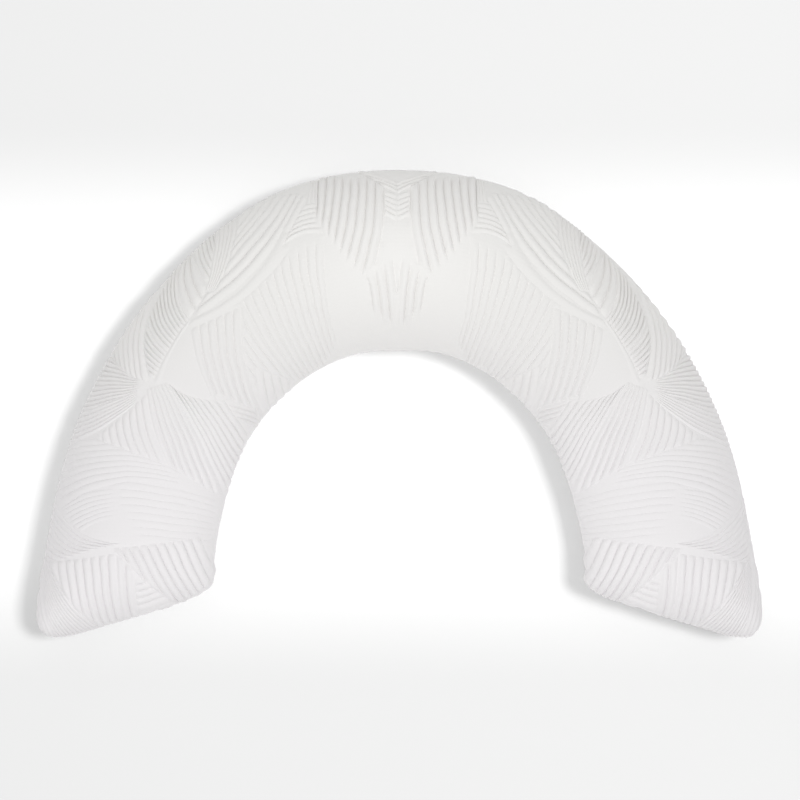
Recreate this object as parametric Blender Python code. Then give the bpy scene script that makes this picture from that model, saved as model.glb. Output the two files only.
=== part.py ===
"""Arch-shaped body pillow: one filled solid of jacquard cloth with raised ribs, resting on its back."""

import math

import bpy
import numpy as np
from mathutils import Vector
from mathutils.geometry import delaunay_2d_cdt

# ---- driving dimensions, in metres and degrees ----
THICKNESS = 0.158
SEAM_HEIGHT = 0.072
ARCH_CENTRE_Y = -0.1898
END_ANGLE = -17.0
END_ROUND = 0.080
CORNER_POWER = 8.0
CROWN_POWER = 2.1
UNDER_POWER = 2.2
UNDER_GAIN = 1.2
GIRTH_HALF = 0.175

RIB_RISE = 0.14
RIB_RISE_MAX = 0.0017
PLAIN_RISE = 0.0006
RIB_MIN_PITCH = 0.0062
LINE_STEP = 0.030
LINE_TRIM = 0.0030
LINE_SHORTEST = 0.012
RIM_STEP = 0.014
FILL_STEP = 0.024
UNDER_STEP = 0.030
MM = 0.001

# Plan of the arch: angle up from the +X side, then the two edges from the arch's centre, in mm.
STATIONS = (
    # angle, inner, outer, crown share
    (-17, 277, 541, 0.97),
    (-13, 275, 539, 0.98),
    (-8, 271, 525, 0.99),
    (0, 264, 508, 0.99),
    (10, 258, 498, 0.98),
    (20, 256, 493, 0.97),
    (30, 258, 492, 0.96),
    (40, 260, 495, 0.96),
    (50, 262, 502, 0.97),
    (60, 265, 513, 0.98),
    (70, 268, 525, 0.99),
    (80, 269, 528, 1.00),
    (90, 266, 528, 1.00),
)

# Ribbed fields of one half of the cloth, laid one over the other in this order, in mm from the
# middle line and from the frame's origin. Each field runs from its first rib to its last one.
# A bow is how far the side swells to the left of the way it is drawn.
FIELDS = (
    # name, first rib start, first rib end, last rib start, last rib end,
    #   bow of first, bow of last, bow of start side, bow of end side, ribs
    ("leg arcs", (488, -76), (250, -136), (472, -172), (262, -196), -42, -24, 16, 0, 11),
    ("leg edge", (510, -130), (395, -182), (526, -216), (492, -231), 20, 3, -3, 4, 9),
    ("inner fan", (105, 250), (90, 66), (238, 150), (172, 14), 6, 14, 10, 0, 12),
    ("leaf inner", (238, 150), (172, 14), (300, 112), (244, -30), 14, 10, 4, 0, 7),
    ("inner short", (164, 52), (150, 14), (204, 46), (196, -8), 0, 0, 0, 0, 5),
    ("inner slant", (262, 12), (210, -8), (252, -16), (202, -36), 0, 0, 0, 0, 3),
    ("star down", (352, 16), (330, -92), (328, 18), (256, -134), 8, 6, 0, 4, 8),
    ("star right", (328, 18), (256, -134), (222, -24), (216, -84), 6, 4, -8, 8, 9),
    ("star left", (436, -44), (434, -56), (352, 16), (330, -92), 0, 8, 0, -3, 9),
    ("star lower", (352, 24), (476, 4), (352, 16), (500, -74), 4, -12, 0, 0, 6),
    ("star side", (424, 84), (408, 78), (480, -12), (352, 20), 0, -3, 0, 6, 10),
    ("edge curves", (412, 104), (352, 22), (318, 206), (350, 24), 14, 22, -10, 0, 7),
    ("leaf outer", (358, 44), (346, 40), (296, 222), (266, 156), 0, 6, -28, 0, 16),
    ("notch", (304, 212), (272, 160), (262, 250), (262, 232), 6, 2, 2, 0, 6),
    ("upright", (274, 250), (276, 156), (232, 280), (241, 190), -3, -3, 0, 0, 6),
    ("leaf long", (238, 284), (234, 290), (300, 114), (130, 292), 0, 22, -24, -26, 10),
    ("top ribs", (106, 330), (120, 256), (22, 338), (41, 162), 0, -10, 0, 10, 8),
    ("hatch", (136, 292), (112, 294), (184, 200), (103, 238), 0, -8, 0, -2, 7),
    ("blades", (0, 226), (0, 196), (19, 192), (0, 107), 0, -2, 0, 0, 3),
    ("blade tips", (19, 192), (2, 110), (56, 160), (42, 128), -2, 0, 0, 0, 4),
    ("chevrons", (56, 340), (0, 324), (24, 308), (0, 298), 0, 0, 0, 0, 4),
    ("ladder", (21, 302), (0, 297), (21, 274), (0, 261), 0, 2, 0, 0, 5),
    ("end uprights", (506, -228), (476, -320), (376, -202), (377, -316), 4, 2, 6, 0, 11),
    ("end slants", (406, -203), (374, -308), (286, -176), (256, -270), -2, -4, 4, -4, 11),
    ("end wedge", (376, -236), (370, -236), (376, -316), (314, -302), 0, 0, 0, 2, 6),
    ("end corner", (508, -226), (434, -326), (516, -262), (496, -340), 10, 6, 0, -3, 11),
    ("end edge", (512, -214), (480, -340), (526, -194), (492, -352), 18, 20, 0, 0, 3),
)

CLOTH_COLOUR = (0.86, 0.85, 0.84, 1.0)


def clear_scene():
    for item in list(bpy.data.objects):
        bpy.data.objects.remove(item, do_unlink=True)


# ---- the form ----

def smooth_column(angles, column):
    """Value of one station column at each angle, on a smooth curve through the rows."""
    knots = np.array([row[0] for row in STATIONS], float)
    values = np.array([row[column] for row in STATIONS], float)
    slopes = np.gradient(values, knots)
    slopes[-1] = 0.0
    at = np.clip(angles, knots[0], knots[-1])
    low = np.clip(np.searchsorted(knots, at, side="right") - 1, 0, len(knots) - 2)
    span = knots[low + 1] - knots[low]
    t = (at - knots[low]) / span
    rise = 3 * t ** 2 - 2 * t ** 3
    bend_low = (t ** 3 - 2 * t ** 2 + t) * span * slopes[low]
    bend_high = (t ** 3 - t ** 2) * span * slopes[low + 1]
    return values[low] * (1 - rise) + values[low + 1] * rise + bend_low + bend_high


def raw_roundness(across, ending):
    near = (np.abs(across) ** CORNER_POWER + ending ** CORNER_POWER) ** (1 / CORNER_POWER)
    power = 2.4 + (CORNER_POWER - 2.4) * np.minimum(near, 1.0) ** 2
    return (np.abs(across) ** power + ending ** power) ** (1 / power)


def roundness(across, ending):
    """How near a place is to the outline: 0 on the crest line and 1 on the outline."""
    return np.minimum(raw_roundness(across, ending), 1.0)


def middle_radius():
    row = STATIONS[3]
    return 0.5 * (row[1] + row[2]) * MM


def along_arch(x, y):
    """Angle, place across the tube (-1 inner to 1 outer) and closeness to the end (0 to 1)."""
    angle = np.degrees(np.arctan2(y - ARCH_CENTRE_Y, x))
    radius = np.hypot(x, y - ARCH_CENTRE_Y)
    inner = smooth_column(angle, 1) * MM
    outer = smooth_column(angle, 2) * MM
    across = (2 * radius - inner - outer) / (outer - inner)
    from_end = np.radians(angle - END_ANGLE) * middle_radius()
    ending = np.clip(1 - from_end / END_ROUND, 0, None)
    return angle, across, ending


def to_plan(angle, across):
    inner = smooth_column(angle, 1) * MM
    outer = smooth_column(angle, 2) * MM
    radius = 0.5 * (inner + outer) + 0.5 * across * (outer - inner)
    turn = np.radians(angle)
    return radius * np.cos(turn), ARCH_CENTRE_Y + radius * np.sin(turn)


def laid_out(angle, across, ending):
    """The cloth laid out flat, so that places on its steep sides stay a true distance apart."""
    near = np.maximum(roundness(across, ending), 1e-6)
    stretch = np.arcsin(near) * (2 / math.pi) / near
    end_length = END_ROUND * GIRTH_HALF / 0.131
    from_end = np.radians(angle - END_ANGLE) * middle_radius()
    along = np.where(ending > 0, (1 - ending * stretch) * end_length,
                     end_length + from_end - END_ROUND)
    return np.stack((along, across * stretch * GIRTH_HALF), 1)


def flattened(plan):
    return laid_out(*along_arch(plan[:, 0], plan[:, 1]))


def top_height(x, y):
    angle, across, ending = along_arch(x, y)
    near = roundness(across, ending)
    crown = (1 - near ** CROWN_POWER) ** (1 / CROWN_POWER)
    top = smooth_column(angle, 3) * THICKNESS
    return SEAM_HEIGHT + (top - SEAM_HEIGHT) * crown


def under_height(near):
    fall = np.minimum(1.0, UNDER_GAIN * (1 - near ** UNDER_POWER) ** (1 / UNDER_POWER))
    return SEAM_HEIGHT * (1 - fall) ** 1.5


def top_normal(x, y):
    """Outward direction of the smooth top surface, level at the outline."""
    step = 0.0004
    angle, across, ending = along_arch(x, y)
    near = roundness(across, ending)
    grow_x = roundness(*along_arch(x + step, y)[1:]) - roundness(*along_arch(x - step, y)[1:])
    grow_y = roundness(*along_arch(x, y + step)[1:]) - roundness(*along_arch(x, y - step)[1:])
    rise = THICKNESS - SEAM_HEIGHT
    fall = near ** (CROWN_POWER - 1)
    keep = np.maximum(1 - near ** CROWN_POWER, 1e-9) ** (1 - 1 / CROWN_POWER)
    normal = np.stack((rise * fall * grow_x / (2 * step), rise * fall * grow_y / (2 * step), keep), 1)
    return normal / np.linalg.norm(normal, axis=1)[:, None]


# ---- the ribbed fields ----

def bowed(start, end, bow, t):
    start = np.array(start, float)
    end = np.array(end, float)
    chord = end - start
    side = np.array((-chord[1], chord[0])) / max(np.hypot(*chord), 1e-6)
    t = np.asarray(t, float)[..., None]
    return start * (1 - t) + end * t + 4 * t * (1 - t) * bow * side


def field_point(field, u, t):
    """Place in a field: u counts across its ribs from 0 to 1, t runs along them."""
    _, a0, a1, b0, b1, bow_a, bow_b, bow_s, bow_e, _ = field
    u, t = np.broadcast_arrays(np.asarray(u, float), np.asarray(t, float))
    first = bowed(a0, a1, bow_a, t)
    last = bowed(b0, b1, bow_b, t)
    start = bowed(a0, b0, bow_s, u)
    end = bowed(a1, b1, bow_e, u)
    u = u[..., None]
    t = t[..., None]
    corners = (np.array(a0) * (1 - u) + np.array(b0) * u) * (1 - t)
    corners = corners + (np.array(a1) * (1 - u) + np.array(b1) * u) * t
    return ((1 - u) * first + u * last + (1 - t) * start + t * end - corners) * MM


def field_outline(field):
    t = np.linspace(0, 1, 41)[:-1]
    parts = (field_point(field, 0, t), field_point(field, t, 1),
             field_point(field, 1, 1 - t), field_point(field, 1 - t, 0))
    return np.concatenate(parts)


def inside(points, ring):
    x, y = points[:, 0], points[:, 1]
    hit = np.zeros(len(points), bool)
    for (x0, y0), (x1, y1) in zip(ring, np.roll(ring, -1, axis=0)):
        cross = (y0 > y) != (y1 > y)
        if y0 != y1:
            hit ^= cross & (x < x0 + (y - y0) * (x1 - x0) / (y1 - y0))
    return hit


def surface_points(plan):
    return np.stack((plan[:, 0], plan[:, 1], top_height(plan[:, 0], plan[:, 1])), 1)


def visible_runs(plan, order, outlines, trim):
    """The stretches of a line that no later field covers, cut back a little at their ends."""
    angle, across, ending = along_arch(plan[:, 0], plan[:, 1])
    keep = (roundness(across, ending) < 0.992) & (plan[:, 0] > 0.0015)
    for ring in outlines[order + 1:]:
        keep &= ~inside(plan, ring)
    places = surface_points(plan)
    length = np.concatenate(([0], np.cumsum(np.linalg.norm(np.diff(places, axis=0), axis=1))))
    runs = []
    begin = None
    for index in range(len(plan) + 1):
        if index < len(plan) and keep[index]:
            begin = index if begin is None else begin
        elif begin is not None:
            low = length[begin] + trim
            high = length[index - 1] - trim
            if high - low > LINE_SHORTEST:
                count = max(2, int(round((high - low) / LINE_STEP)) + 1)
                at = np.linspace(low, high, count)
                runs.append(np.stack((np.interp(at, length, plan[:, 0]),
                                      np.interp(at, length, plan[:, 1])), 1))
            begin = None
    return runs


class Sheet:
    """Points of the flattened cloth, each with its plan, its rise and the lines that join them."""

    def __init__(self):
        self.plan = []
        self.flat = []
        self.rise = []
        self.edges = []

    def line(self, plan, rise, flat=None):
        base = len(self.plan)
        flat = flattened(plan) if flat is None else flat
        self.plan.extend(map(tuple, plan))
        self.flat.extend(map(tuple, flat))
        self.rise.extend(np.broadcast_to(rise, (len(plan),)))
        self.edges.extend((base + k, base + k + 1) for k in range(len(plan) - 1))

    def dot(self, plan, flat, rise):
        self.plan.append(tuple(plan))
        self.flat.append(tuple(flat))
        self.rise.append(rise)


def rib_lines(sheet):
    outlines = [field_outline(field) for field in FIELDS]
    t = np.linspace(0, 1, 161)
    for order, field in enumerate(FIELDS):
        count = field[-1]
        middle = field_point(field, np.linspace(0, 1, count + 1), 0.5)
        pitch = np.linalg.norm(np.diff(middle, axis=0), axis=1).mean()
        if pitch < RIB_MIN_PITCH:
            count = max(2, int(round(count * pitch / RIB_MIN_PITCH)))
        for half in range(1, 2 * count):
            u = half / (2 * count)
            plan = field_point(field, u, t)
            width = np.linalg.norm(field_point(field, u + 0.5 / count, t)
                                   - field_point(field, u - 0.5 / count, t), axis=1)
            wide = width > 0.62 * RIB_MIN_PITCH
            plan, width = plan[wide], width[wide]
            if len(plan) < 4:
                continue
            for run in visible_runs(plan, order, outlines, LINE_TRIM):
                nearest = np.argmin(np.abs(run[:, None, :] - plan[None]).sum(2), axis=1)
                rise = np.minimum(RIB_RISE * width[nearest], RIB_RISE_MAX) if half % 2 else 0.0
                sheet.line(run, rise)
        ring = np.concatenate((outlines[order], outlines[order][:1]))
        for run in visible_runs(ring, order, outlines, 0.5 * LINE_TRIM):
            sheet.line(run, 0.0)


# ---- the mesh ----

def end_reach(turn, level):
    """How far out from the crest line a ring lies, for each direction round the end."""
    low = np.zeros_like(turn)
    high = np.full_like(turn, 1.3)
    for _ in range(50):
        half = 0.5 * (low + high)
        below = raw_roundness(half * np.cos(turn), half * np.sin(turn)) < level
        low = np.where(below, half, low)
        high = np.where(below, high, half)
    return low


def ring(level, step):
    """Half of a line round the cloth at one closeness to its outline, from outer to inner side.

    It counts 0 to 1 down the outer side, 1 to 2 round the end and 2 to 3 back up the inner side.
    """
    joint = END_ANGLE + math.degrees(END_ROUND / middle_radius())

    def places(count):
        side = np.where(count < 1.5, count, 3 - count)
        turn = np.clip(count - 1, 0, 1) * math.pi
        reach = end_reach(turn, level)
        straight = (count <= 1) | (count >= 2)
        angle = np.where(straight, 90 + (joint - 90) * np.clip(side, 0, 1), 0.0)
        ending = np.where(straight, 0.0, reach * np.sin(turn))
        angle = np.where(straight, angle, joint - (joint - END_ANGLE) * ending)
        across = np.where(straight, np.where(count < 1.5, level, -level), reach * np.cos(turn))
        return angle, across, ending

    count = np.linspace(0, 3, 1501)
    angle, across, _ = places(count)
    line = np.stack(to_plan(angle, across), 1)
    length = np.concatenate(([0], np.cumsum(np.linalg.norm(np.diff(line, axis=0), axis=1))))
    steps = max(8, int(round(length[-1] / step)))
    angle, across, ending = places(np.interp(np.linspace(0, length[-1], steps + 1), length, count))
    plan = np.stack(to_plan(angle, across), 1)
    flat = laid_out(angle, across, ending)
    plan[[0, -1], 0] = 0.0
    return plan, flat


def middle_line(across):
    """Points down the cloth's middle line, from the outer side to the inner one."""
    across = np.asarray(across, float)
    angle = np.full_like(across, 90.0)
    plan = np.stack(to_plan(angle, across), 1)
    plan[:, 0] = 0.0
    return plan, laid_out(angle, across, np.zeros_like(across))


def triangulate(sheet):
    plan = np.array(sheet.plan)
    flat = np.array(sheet.flat)
    done = delaunay_2d_cdt([Vector(p) for p in flat], sheet.edges, [], 1, 1e-5, True)
    points, edges, faces, from_points, from_edges, _ = done
    joins = {}
    for edge, sources in zip(edges, from_edges):
        for corner in edge:
            if sources:
                joins.setdefault(corner, sources[0])
    out_plan = np.zeros((len(points), 2))
    out_rise = np.zeros(len(points))
    for index, (point, sources) in enumerate(zip(points, from_points)):
        if sources:
            out_plan[index] = plan[sources[0]]
            out_rise[index] = min(sheet.rise[k] for k in sources)
        else:
            first, last = sheet.edges[joins[index]]
            span = flat[last] - flat[first]
            part = float(np.dot(np.array(point) - flat[first], span) / np.dot(span, span))
            out_plan[index] = plan[first] * (1 - part) + plan[last] * part
    return out_plan, out_rise, [tuple(face) for face in faces]


def fill_dots(sheet, step, limit, rise):
    """Even points wherever the cloth is plain, clear of the lines already laid."""
    flat = np.array(sheet.flat)
    taken = [flat]
    for first, last in sheet.edges:
        parts = int(np.linalg.norm(flat[last] - flat[first]) / (0.4 * step))
        if parts > 1:
            t = (np.arange(1, parts) / parts)[:, None]
            taken.append(flat[first] * (1 - t) + flat[last] * t)
    taken = np.concatenate(taken)
    angles = np.arange(END_ANGLE + 1.0, 90.0, math.degrees(step / middle_radius()))
    turn = 0.5 * math.pi * step / GIRTH_HALF
    for row, angle in enumerate(angles):
        across = np.sin(np.arange(-math.pi / 2, math.pi / 2, turn) + (row % 2) * 0.5 * turn)
        plan = np.stack(to_plan(np.full_like(across, angle), across), 1)
        places = flattened(plan)
        near = roundness(*along_arch(plan[:, 0], plan[:, 1])[1:])
        for index in np.nonzero((near < limit) & (plan[:, 0] > 0.4 * step))[0]:
            if np.min(np.linalg.norm(taken - places[index], axis=1)) > 0.62 * step:
                sheet.dot(plan[index], places[index], rise)


def top_half():
    sheet = Sheet()
    plan, flat = ring(1.0, RIM_STEP)
    sheet.line(plan, 0.0, flat)
    plan, flat = middle_line(np.sin(np.linspace(math.pi / 2, -math.pi / 2, 17)))
    sheet.line(plan, 0.0, flat)
    rib_lines(sheet)
    fill_dots(sheet, FILL_STEP, 0.985, PLAIN_RISE)
    plan, rise, faces = triangulate(sheet)
    places = surface_points(plan) + top_normal(plan[:, 0], plan[:, 1]) * rise[:, None]
    places[np.abs(plan[:, 0]) < 1e-7, 0] = 0.0
    return places, faces


def under_half():
    sheet = Sheet()
    plan, flat = ring(1.0, RIM_STEP)
    sheet.line(plan, 0.0, flat)
    flat_level = (1 - (1 / UNDER_GAIN) ** UNDER_POWER) ** (1 / UNDER_POWER)
    levels = (0.975, 0.90, 0.78, flat_level)
    for level in levels:
        plan, flat = ring(level, UNDER_STEP)
        sheet.line(plan, 0.0, flat)
    steps = (1.0,) + levels + (0.0,)
    plan, flat = middle_line(steps + tuple(-level for level in steps[-2::-1]))
    sheet.line(plan, 0.0, flat)
    fill_dots(sheet, 0.045, 0.5, 0.0)
    plan, _, faces = triangulate(sheet)
    near = roundness(*along_arch(plan[:, 0], plan[:, 1])[1:])
    near = np.where(near < flat_level + 0.004, 0.0, near)
    places = np.stack((plan[:, 0], plan[:, 1], under_height(near)), 1)
    return places, faces


def pillow_mesh():
    points = []
    faces = []
    for (places, triangles), upper in ((top_half(), True), (under_half(), False)):
        for mirror in (1, -1):
            base = len(points)
            points.extend(tuple(p) for p in places * np.array((mirror, 1, 1)))
            for a, b, c in triangles:
                area = (places[b] - places[a])[0] * (places[c] - places[a])[1]
                area -= (places[b] - places[a])[1] * (places[c] - places[a])[0]
                ccw = (area > 0) == (mirror > 0)
                corners = (a, b, c) if ccw == upper else (a, c, b)
                faces.append(tuple(base + k for k in corners))
    mesh = bpy.data.meshes.new("pillow")
    mesh.from_pydata(points, [], faces)
    return mesh


def build():
    clear_scene()
    group = bpy.data.collections.new("body_pillow")
    bpy.context.scene.collection.children.link(group)
    mesh = pillow_mesh()
    pillow = bpy.data.objects.new("pillow", mesh)
    group.objects.link(pillow)
    bpy.context.view_layer.objects.active = pillow
    pillow.select_set(True)
    bpy.ops.object.mode_set(mode="EDIT")
    bpy.ops.mesh.select_all(action="SELECT")
    bpy.ops.mesh.remove_doubles(threshold=0.0004)
    bpy.ops.mesh.normals_make_consistent(inside=False)
    bpy.ops.object.mode_set(mode="OBJECT")
    cloth = bpy.data.materials.new("cover")
    cloth.use_nodes = True
    shader = cloth.node_tree.nodes["Principled BSDF"]
    shader.inputs["Base Color"].default_value = CLOTH_COLOUR
    shader.inputs["Roughness"].default_value = 0.9
    shader.inputs["Metallic"].default_value = 0.0
    mesh.materials.append(cloth)



build()
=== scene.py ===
"""Arch-shaped body pillow in a white jacquard knit cover, lying on its back on a pale sweep."""

import math
from collections import namedtuple

import bpy
import numpy as np
from bpy.props import FloatProperty, PointerProperty
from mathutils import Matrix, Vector, kdtree, noise
from mathutils.geometry import delaunay_2d_cdt


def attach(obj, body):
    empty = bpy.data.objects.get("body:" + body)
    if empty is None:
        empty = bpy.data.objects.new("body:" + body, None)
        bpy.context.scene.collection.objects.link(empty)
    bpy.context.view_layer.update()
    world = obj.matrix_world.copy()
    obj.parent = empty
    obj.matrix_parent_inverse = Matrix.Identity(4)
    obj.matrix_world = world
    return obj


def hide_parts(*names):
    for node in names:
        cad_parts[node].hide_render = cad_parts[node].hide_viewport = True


bl_info = {
    "name": "Arch Body Pillow",
    "version": (1, 0, 0),
    "blender": (4, 5, 0),
    "location": "View3D > Sidebar > Body Pillow",
    "description": "Builds an arch-shaped body pillow with a ribbed jacquard cover and its studio",
    "category": "Object",
}

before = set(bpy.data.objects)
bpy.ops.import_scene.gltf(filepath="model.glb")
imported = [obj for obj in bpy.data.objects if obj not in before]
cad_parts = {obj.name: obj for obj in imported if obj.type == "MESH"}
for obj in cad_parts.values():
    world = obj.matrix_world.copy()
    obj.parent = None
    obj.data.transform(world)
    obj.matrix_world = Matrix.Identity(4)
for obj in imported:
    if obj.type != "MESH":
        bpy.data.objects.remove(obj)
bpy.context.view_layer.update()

MM = 0.001

# The legs end at this angle and are rounded over this length. Half the pillow's width, and half
# the way over it on the cloth, are typical ones.
ARCH_CENTRE_Y = -0.1898
END_ANGLE = -17.0
END_ROUND = 0.080
HALF_WIDTH = 0.131
HALF_GIRTH = 0.175

# Powers of the curves: the plan's corners at the crest and at the outline, the crown's rise, and
# the under panel's fall, which the gain ends before its middle and the ease softens.
CREST_POWER = 2.4
CORNER_POWER = 8.0
CROWN_POWER = 2.1
UNDER_POWER = 2.2
UNDER_GAIN = 1.2
UNDER_EASE = 1.5

# The motif's middle lies this far to the left of the pillow's. The ray where its halves meet is
# turned by this many degrees.
MOTIF_SHIFT = 0.0033
MIDDLE_TURN = 0.5

# Ribs stay this far from the edge seam, from the middle, and from their field's ends and any
# field over it. Narrower and shorter ones are left out.
SEAM_CLEAR = 0.0042
MIDDLE_CLEAR = 0.0010
RIB_CLEAR = 0.0008
RIB_NARROWEST = 0.0026
RIB_SHORTEST = 0.004

# The share of a rib's rise that lies below the plain cloth, the share that is left at a sewn
# end and at the edge seam, and the lengths over which it fades.
RIB_SINK = 0.5
LEAST_SHARE = 0.25
SEWN_FADE = 0.0035
SOFT_FADE = 0.018
SEAM_FADE = 0.018

# A rib's points keep this far from its ends, but for one close to each.
END_CLEAR = 0.0045
END_STEP = 0.0022

# Depth of a sewn line as a share of the ribs beside it, and the distance between its points.
SEWN_DEPTH = 0.25
BORDER_SHARE = 0.75
BORDER_STEP = 0.003

# The under panel is ribbed this close to the outline, and more faintly below this height.
UNDER_RIBS = 0.78
UNDER_FADE = 0.02

# Lines at the edge seam, the distance between their points and between points of plain cloth,
# how far the seam's draw reaches, and the gap that is closed where panels meet.
SEAM_LINES = (0.0, 0.0018)
SEAM_STEP = 0.0055
PLAIN_STEP = 0.012
DRAW_REACH = 0.005
MERGE_GAP = 0.00004

# Points of plain cloth lie in rows between these angles, and keep this share of their spacing
# from ribs, which are looked up this finely, from the seam and from the middle.
DOT_ROWS = (END_ANGLE + 0.4, 91.0)
DOT_FROM_RIBS = 0.62
DOT_LOOK_UP = 0.4
DOT_FROM_SEAM = 0.5
DOT_FROM_MIDDLE = 0.4

# Points that measure a field's side, a rib and a ring, and points on the middle line.
SIDE_POINTS = 31
RIB_POINTS = 81
RING_POINTS = 2401
MIDDLE_POINTS = 91

# Points this close on the laid out cloth are one, and from here on a place is on the outline.
SAME_PLACE = 1e-5
OUTLINE = 0.99999

# The filling: grid of the simulated cloth, frames, and lumps to the metre. The cloth is held
# below this height, and round the edge seam this near the outline and this near in height.
SIM_VOXEL = 0.006
SIM_FRAMES = 20
LUMP_PITCH = 11.0
HELD_LOW = 0.0015
HELD_NEAR = 0.985
HELD_BAND = 0.012

# Where the camera hangs, and its sensor's width in millimetres.
CAMERA_PLACE = (0.0007, 0.0051)
SENSOR_WIDTH = 36.0

# Plan of the arch: angle up from the +X side, then the two edges from the arch's centre, in mm,
# and the crown's share of the pillow's thickness.
Station = namedtuple("Station", "angle inner outer crown")
STATIONS = tuple(Station(*row) for row in (
    (-17, 277, 541, 0.97),
    (-13, 275, 539, 0.98),
    (-8, 271, 525, 0.99),
    (0, 264, 508, 0.99),
    (10, 258, 498, 0.98),
    (20, 256, 493, 0.97),
    (30, 258, 492, 0.96),
    (40, 260, 495, 0.96),
    (50, 262, 502, 0.97),
    (60, 265, 513, 0.98),
    (70, 268, 525, 0.99),
    (80, 269, 528, 1.00),
    (90, 266, 528, 1.00),
))

# Radius of the tube's middle line where it is level with the arch's centre.
LEVEL = STATIONS[3]
MIDDLE_RADIUS = 0.5 * (LEVEL.inner + LEVEL.outer) * MM

# Ribbed fields of one half of the cloth, laid one over the other in this order, in mm from the
# middle line and from the frame's origin. Each field runs from its first rib to its last one.
# A bow is how far the side swells to the left of the way it is drawn. A soft field has no sewn
# border: its ribs sink back into the plain cloth.
Field = namedtuple("Field", "name first_start first_end last_start last_end first_bow last_bow "
                            "start_bow end_bow ribs relief border")
FIELDS = tuple(Field(*row) for row in (
    ("leg slope", (412, -110), (258, -140), (378, -194), (268, -206), -7, 0, 0, 0, 8, 0.45,
     "soft"),
    ("leg oval", (488, -146), (400, -120), (456, -182), (398, -162), -6, -4, 6, 0, 7, 0.6, "soft"),
    ("leg arcs", (487, -60), (330, -66), (488, -150), (300, -122), -14, -24, 14, 0, 8, 0.6,
     "soft"),
    ("leg edge", (507, -128), (392, -198), (521, -214), (498, -230), 19, 3, -3, 4, 9, 1.0, "sewn"),
    ("inner fan", (106, 240), (88, 80), (238, 152), (158, 30), 7, 6, 8, -10, 11, 1.1, "soft"),
    ("inner low", (238, 152), (158, 30), (266, 124), (192, 6), 6, 6, 0, 0, 4, 1.0, "soft"),
    ("leaf inner", (297, 106), (262, 0), (224, 138), (194, -20), 5, 10, 0, 0, 6, 1.3, "sewn"),
    ("inner short", (158, 34), (154, 10), (206, 52), (196, -14), 0, 0, 0, 0, 4, 1.1, "sewn"),
    ("inner slant", (262, 12), (206, -8), (252, -18), (200, -38), 0, 0, 0, 0, 4, 1.1, "sewn"),
    ("star down", (359, 20), (328, -88), (330, 31), (252, -136), 5, -7, 0, 0, 6, 1.45, "sewn"),
    ("star right", (330, 31), (252, -136), (249, 6), (218, -44), -7, 0, 10, 0, 8, 1.45, "sewn"),
    ("star left", (437, -46), (436, -48), (359, 17), (328, -88), 0, 5, 4, 0, 8, 1.3, "sewn"),
    ("star side", (446, 76), (356, 34), (482, -18), (356, 21), -6, 2, 0, 0, 11, 2.3, "sewn"),
    ("star lower", (360, 24), (474, -16), (359, 16), (490, -64), -2, -9, 0, 0, 6, 1.6, "sewn"),
    ("edge curves", (428, 88), (412, 64), (345, 176), (356, 31), 0, 15, 0, 6, 7, 1.8, "sewn"),
    ("outer low", (356, 38), (346, 34), (363, 118), (327, 72), 0, 5, -6, 0, 7, 1.9, "sewn"),
    ("outer mid", (363, 118), (327, 72), (313, 207), (299, 120), 5, 13, -5, 0, 9, 2.1, "sewn"),
    ("outer top", (313, 207), (299, 120), (297, 224), (273, 166), 13, 4, 0, 0, 3, 2.0, "sewn"),
    ("notch", (298, 222), (273, 170), (266, 256), (264, 238), 4, 0, 2, 0, 6, 1.5, "sewn"),
    ("leaf crown", (236, 292), (238, 294), (266, 178), (168, 303), 0, 3, -3, 0, 6, 1.5, "sewn"),
    ("leaf body", (266, 178), (168, 303), (294, 121), (138, 304), 3, 24, 0, 0, 3, 1.45, "sewn"),
    ("upright", (266, 256), (277, 160), (236, 276), (264, 160), -5, -9, 0, 0, 5, 1.5, "sewn"),
    ("spine", (349, 29), (298, 121), (338, 29), (303, 108), -5, -5, 0, 0, 1, 0.9, "sewn"),
    ("margin", (303, 108), (150, 229), (294, 121), (166, 249), 19, 20, 0, 0, 1, 0.9, "sewn"),
    ("leaf top", (166, 249), (141, 300), (157, 240), (131, 300), 0, 0, 0, 0, 1, 1.1, "sewn"),
    ("leaf tip", (135, 283), (128, 322), (116, 286), (117, 322), 0, 0, 0, 0, 3, 1.2, "sewn"),
    ("hatch", (137, 287), (117, 289), (166, 224), (104, 241), 0, -8, 0, -7, 6, 1.2, "sewn"),
    ("top ribs", (117, 328), (118, 262), (24, 330), (44, 168), 0, -9, 0, 6, 8, 2.2, "soft"),
    ("blades", (12, 212), (2, 99), (49, 186), (37, 124), -3, -3, 0, 0, 3, 1.8, "soft"),
    ("chevrons", (66, 339), (0, 319), (23, 313), (0, 300), 0, 0, 0, 0, 3, 1.8, "sewn"),
    ("ladder", (21, 306), (0, 300), (21, 271), (0, 259), 0, 2, 0, 0, 5, 1.3, "sewn"),
    ("slants", (408, -205), (358, -308), (284, -192), (262, -252), 0, 0, 0, 4, 10, 1.85, "sewn"),
    ("uprights", (502, -227), (474, -332), (402, -212), (397, -314), 3, 0, 0, 0, 8, 1.7, "sewn"),
    ("last uprights", (402, -212), (397, -314), (376, -236), (375, -308), 0, 0, 0, 0, 2, 1.7,
     "sewn"),
    ("wedge", (376, -238), (374, -239), (375, -312), (318, -291), 0, 0, 0, 2, 7, 1.6, "sewn"),
    ("corner", (507, -224), (434, -322), (522, -262), (494, -352), 5, 3, 0, 0, 12, 2.5, "sewn"),
    ("end edge", (509, -206), (496, -338), (526, -194), (512, -352), 10, 12, 0, 0, 3, 1.6, "sewn"),
))

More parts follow.
